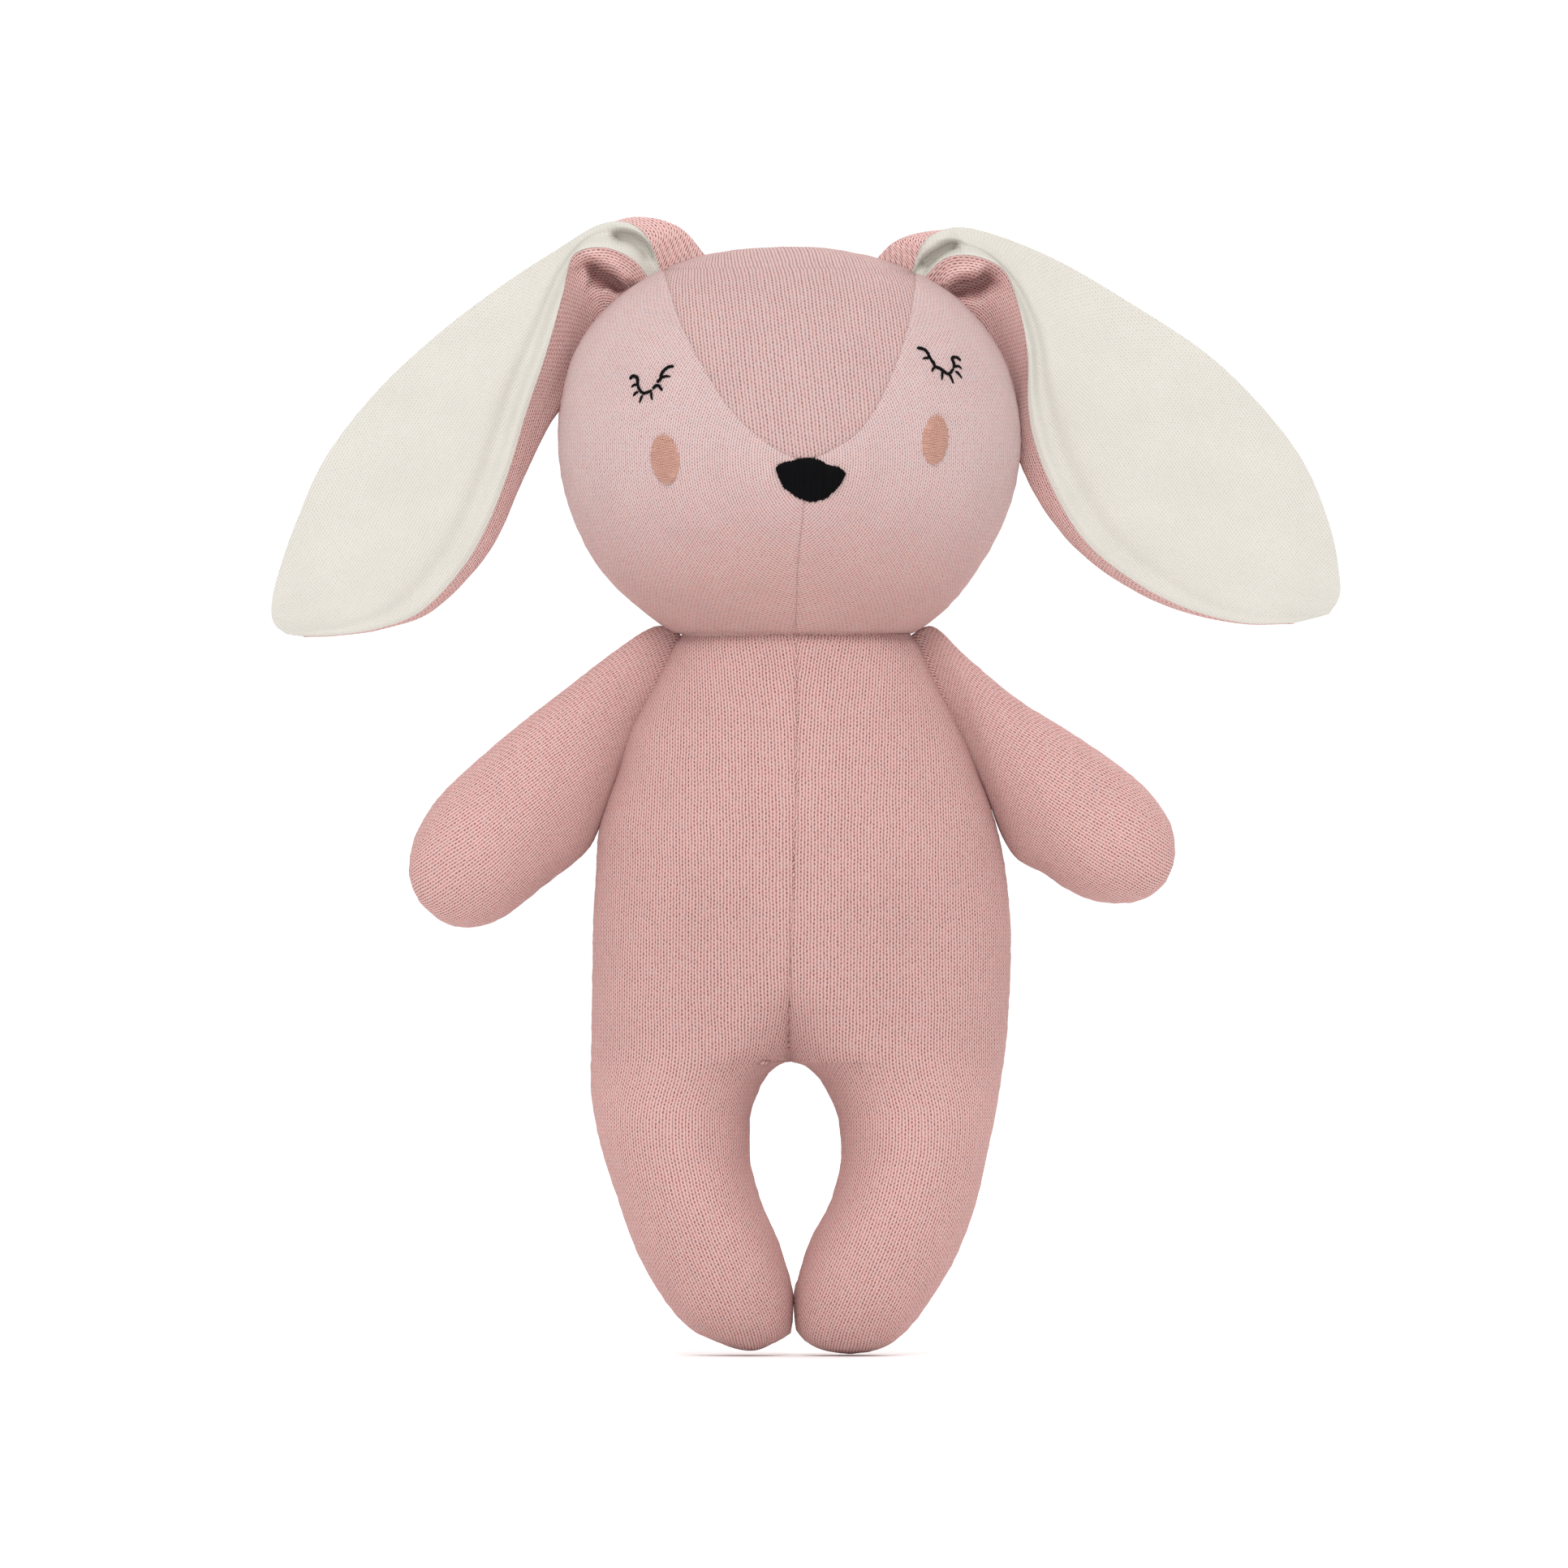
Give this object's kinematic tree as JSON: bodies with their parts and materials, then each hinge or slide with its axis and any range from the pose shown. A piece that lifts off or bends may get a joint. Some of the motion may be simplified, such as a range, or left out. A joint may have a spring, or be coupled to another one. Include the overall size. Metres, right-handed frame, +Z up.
{
  "type": "stuffed bunny rabbit",
  "caption": "Soft knitted rag-doll rabbit with a round head, long lop ears, short arms and joined stubby legs, filled with fibre.",
  "frame": {"origin": "centre of the bounding box's base, on the floor the soles touch", "axes": "+Z up from the soles to the crown, the toy faces -Y, its own left side is +X"},
  "size_m": [0.336, 0.1169, 0.3589],
  "materials": {
    "pink_knit": "knitted cotton, matt, slightly fuzzy",
    "cream_jersey": "fine smooth cotton jersey, matt",
    "fibre_filling": "loose polyester fibre",
    "black_thread": "six-strand embroidery cotton",
    "peach_thread": "satin-stitched embroidery cotton",
    "seam_thread": "sewing thread"
  },
  "bodies": {
    "torso": {"torso_front_left": "pink_knit", "torso_front_right": "pink_knit", "torso_back_left": "pink_knit", "torso_back_right": "pink_knit", "torso_stuffing": "fibre_filling", "front_seam_stitches": "seam_thread"},
    "head": {"forehead_gusset": "pink_knit", "face_panel_left": "pink_knit", "face_panel_right": "pink_knit", "head_back_left": "pink_knit", "head_back_right": "pink_knit", "head_stuffing": "fibre_filling", "nose_embroidery": "black_thread", "eye_embroidery_left": "black_thread", "eye_embroidery_right": "black_thread", "cheek_embroidery_left": "peach_thread", "cheek_embroidery_right": "peach_thread"},
    "ear_left": {"ear_outer_left": "pink_knit", "ear_lining_left": "cream_jersey"},
    "ear_right": {"ear_outer_right": "pink_knit", "ear_lining_right": "cream_jersey"},
    "arm_left": {"arm_front_left": "pink_knit", "arm_back_left": "pink_knit", "arm_stuffing_left": "fibre_filling"},
    "arm_right": {"arm_front_right": "pink_knit", "arm_back_right": "pink_knit", "arm_stuffing_right": "fibre_filling"},
    "leg_left": {"leg_front_left": "pink_knit", "leg_back_left": "pink_knit", "leg_stuffing_left": "fibre_filling"},
    "leg_right": {"leg_front_right": "pink_knit", "leg_back_right": "pink_knit", "leg_stuffing_right": "fibre_filling"}
  },
  "joints": [
    {"name": "neck_turn", "type": "hinge", "parent": "torso", "child": "head", "pos_m": [0, 0, 0.225], "axis": [0, 0, 1], "range_deg": [-35, 35], "stiffness_Nm_per_rad": 0.03},
    {"name": "ear_left_swing", "type": "hinge", "parent": "head", "child": "ear_left", "pos_m": [0.0425, 0, 0.34], "axis": [-1, 0, 0], "range_deg": [-30, 24], "stiffness_Nm_per_rad": 0.002},
    {"name": "ear_right_swing", "type": "hinge", "parent": "head", "child": "ear_right", "pos_m": [-0.0425, 0, 0.34], "axis": [-1, 0, 0], "range_deg": [-30, 24], "stiffness_Nm_per_rad": 0.002},
    {"name": "arm_left_fold", "type": "hinge", "parent": "torso", "child": "arm_left", "pos_m": [0.0512, 0, 0.1987], "axis": [0.4078, 0, -0.9131], "range_deg": [-30, 40], "stiffness_Nm_per_rad": 0.01},
    {"name": "arm_right_fold", "type": "hinge", "parent": "torso", "child": "arm_right", "pos_m": [-0.0512, 0, 0.1987], "axis": [0.4078, 0, 0.9131], "range_deg": [-30, 40], "stiffness_Nm_per_rad": 0.01},
    {"name": "hip_left_swing", "type": "hinge", "parent": "torso", "child": "leg_left", "pos_m": [0.033, 0, 0.086], "axis": [-1, 0, 0], "range_deg": [-20, 60], "stiffness_Nm_per_rad": 0.12},
    {"name": "hip_right_swing", "type": "hinge", "parent": "torso", "child": "leg_right", "pos_m": [-0.033, 0, 0.086], "axis": [-1, 0, 0], "range_deg": [-20, 60], "stiffness_Nm_per_rad": 0.12}
  ]
}
